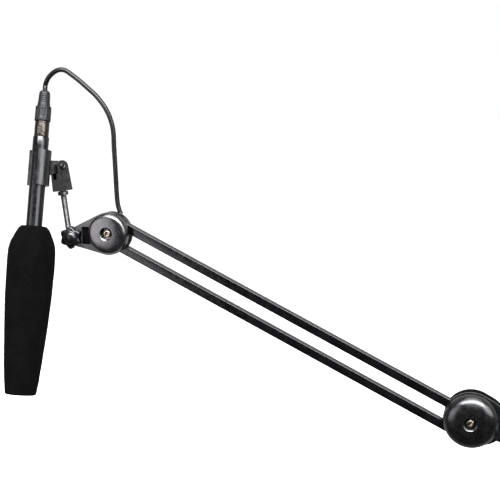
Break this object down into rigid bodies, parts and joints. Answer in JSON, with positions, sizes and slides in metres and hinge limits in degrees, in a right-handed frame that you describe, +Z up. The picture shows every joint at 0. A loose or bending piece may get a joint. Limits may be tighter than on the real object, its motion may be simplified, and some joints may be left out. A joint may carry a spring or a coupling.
{
  "type": "boom microphone stand",
  "caption": "Desk-clamped microphone boom of two parallel-tube arms with round hub caps, a swivelling mic clip, a shotgun microphone in a foam windscreen, and its lead.",
  "frame": {"origin": "on the swivel axis at the underside of the desk pad, where the clamp sits on the desk top", "axes": "+Z up along the swivel axis, arms in the X-Z plane reaching to -X, -Y is the front"},
  "size_m": [1.1031, 0.1432, 0.8726],
  "materials": {
    "black_paint": "satin black powder coat",
    "grey_paint": "satin grey paint",
    "black_plastic": "satin moulded black plastic",
    "nickel": "warm nickel plate",
    "steel": "turned steel",
    "foam": "open-cell black foam",
    "rubber": "black rubber",
    "cable": "matte black cable jacket",
    "mic_paint": "gloss black enamel"
  },
  "bodies": {
    "clamp": {"clamp_frame": "black_paint", "desk_pad": "rubber"},
    "clamp_pad": {"pressure_pad": "rubber"},
    "clamp_screw_body": {"clamp_screw": "steel"},
    "clamp_bar_body": {"clamp_bar": "steel"},
    "base_hub": {"base_core": "black_paint", "base_plate_front": "black_paint", "base_plate_rear": "black_paint", "base_cap_front": "black_plastic", "base_cap_rear": "black_plastic", "base_cap_screw_front": "nickel", "base_cap_screw_rear": "nickel", "base_pin_a": "steel", "base_pin_b": "steel", "base_bolt": "nickel"},
    "lower_link_a": {"lower_tube_a": "black_paint"},
    "lower_link_b": {"lower_tube_b": "black_paint", "lower_spring": "steel"},
    "elbow_hub": {"elbow_plate_front": "black_paint", "elbow_plate_rear": "black_paint", "elbow_cap_front": "black_plastic", "elbow_cap_rear": "black_plastic", "elbow_cap_screw_front": "nickel", "elbow_cap_screw_rear": "nickel", "elbow_pin_a": "steel", "elbow_pin_b": "steel", "elbow_pin_c": "steel", "elbow_pin_d": "steel", "elbow_spacer": "steel"},
    "upper_link_a": {"upper_tube_a": "black_paint"},
    "upper_link_b": {"upper_tube_b": "black_paint", "upper_spring": "steel"},
    "head_hub": {"head_plate_front": "grey_paint", "head_plate_rear": "grey_paint", "head_cap_front": "black_plastic", "head_cap_rear": "black_plastic", "head_cap_screw_front": "nickel", "head_cap_screw_rear": "nickel", "head_pin_a": "steel", "head_pin_b": "steel", "head_core": "black_plastic", "head_rivet": "steel", "cable_gland": "rubber", "mic_cable": "cable"},
    "knob": {"head_knob": "black_plastic"},
    "post": {"knob_stud": "steel", "post_block": "black_paint", "post_rod": "steel"},
    "yoke_body": {"yoke": "black_paint", "yoke_screw": "nickel", "yoke_nut": "nickel"},
    "mic_set": {"clip": "black_plastic", "microphone": "mic_paint", "xlr_shell": "nickel", "xlr_grip": "rubber", "xlr_boot": "rubber"},
    "windscreen": {"foam_windscreen": "foam"},
    "latch": {"xlr_latch": "steel"}
  },
  "joints": [
    {"name": "pad_lift", "type": "slide", "parent": "clamp", "child": "clamp_pad", "axis": [0, 0, 1], "range_m": [-0.008, 0.012]},
    {"name": "screw_turn", "type": "hinge", "parent": "clamp_pad", "child": "clamp_screw_body", "pos_m": [-0.004, 0, -0.08], "axis": [0, 0, 1], "range_deg": [-1440, 2160]},
    {"name": "bar_slide", "type": "slide", "parent": "clamp_screw_body", "child": "clamp_bar_body", "axis": [0, 1, 0], "range_m": [-0.0225, 0.0225]},
    {"name": "base_swivel", "type": "hinge", "parent": "clamp", "child": "base_hub", "pos_m": [0, 0, 0.05], "axis": [0, 0, 1], "continuous": true},
    {"name": "lower_arm_tilt", "type": "hinge", "parent": "base_hub", "child": "lower_link_a", "pos_m": [0, 0, 0.1117], "axis": [0, 1, 0], "range_deg": [-20, 33]},
    {"name": "lower_arm_follow", "type": "hinge", "parent": "base_hub", "child": "lower_link_b", "pos_m": [0, 0, 0.0803], "axis": [0, 1, 0], "range_deg": [-20, 33]},
    {"name": "elbow_level", "type": "hinge", "parent": "lower_link_a", "child": "elbow_hub", "pos_m": [-0.45315, 0, 0.32301], "axis": [0, 1, 0], "range_deg": [-33, 20]},
    {"name": "upper_arm_tilt", "type": "hinge", "parent": "elbow_hub", "child": "upper_link_a", "pos_m": [-0.48615, 0, 0.31581], "axis": [0, 1, 0], "range_deg": [-29, 32]},
    {"name": "upper_arm_follow", "type": "hinge", "parent": "elbow_hub", "child": "upper_link_b", "pos_m": [-0.48615, 0, 0.28441], "axis": [0, 1, 0], "range_deg": [-29, 32]},
    {"name": "head_level", "type": "hinge", "parent": "upper_link_a", "child": "head_hub", "pos_m": [-0.94364, 0, 0.53894], "axis": [0, 1, 0], "range_deg": [-32, 29]},
    {"name": "knob_turn", "type": "hinge", "parent": "post", "child": "knob", "pos_m": [-0.99914, -0.02, 0.51624], "axis": [0, -1, 0], "continuous": true},
    {"name": "post_swing", "type": "hinge", "parent": "head_hub", "child": "post", "pos_m": [-0.99914, 0, 0.51624], "axis": [0, 1, 0], "range_deg": [-35, 30], "deforming": ["mic_cable"]},
    {"name": "yoke_turn", "type": "hinge", "parent": "post", "child": "yoke_body", "pos_m": [-1.01738, 0, 0.57698], "axis": [-0.1357, 0, 0.9907], "range_deg": [-110, 0], "deforming": ["mic_cable"]},
    {"name": "clip_tilt", "type": "hinge", "parent": "yoke_body", "child": "mic_set", "pos_m": [-1.02178, 0, 0.60908], "axis": [0.8066, -0.5807, 0.1105], "range_deg": [-55, 3], "deforming": ["mic_cable"]},
    {"name": "windscreen_slide", "type": "slide", "parent": "mic_set", "child": "windscreen", "axis": [-0.0168, -0.2093, -0.9777], "range_m": [0, 0.215]},
    {"name": "latch_press", "type": "slide", "parent": "mic_set", "child": "latch", "axis": [-0.1633, 0.9653, -0.2039], "range_m": [0, 0.0003], "stiffness_N_per_m": 800}
  ],
  "couplings": [
    {"joint": "pad_lift", "follows": "screw_turn", "m_per_rad": 0.00031831},
    {"joint": "lower_arm_follow", "follows": "lower_arm_tilt", "ratio": 1},
    {"joint": "elbow_level", "follows": "lower_arm_tilt", "ratio": -1},
    {"joint": "upper_arm_follow", "follows": "upper_arm_tilt", "ratio": 1},
    {"joint": "head_level", "follows": "upper_arm_tilt", "ratio": -1}
  ]
}
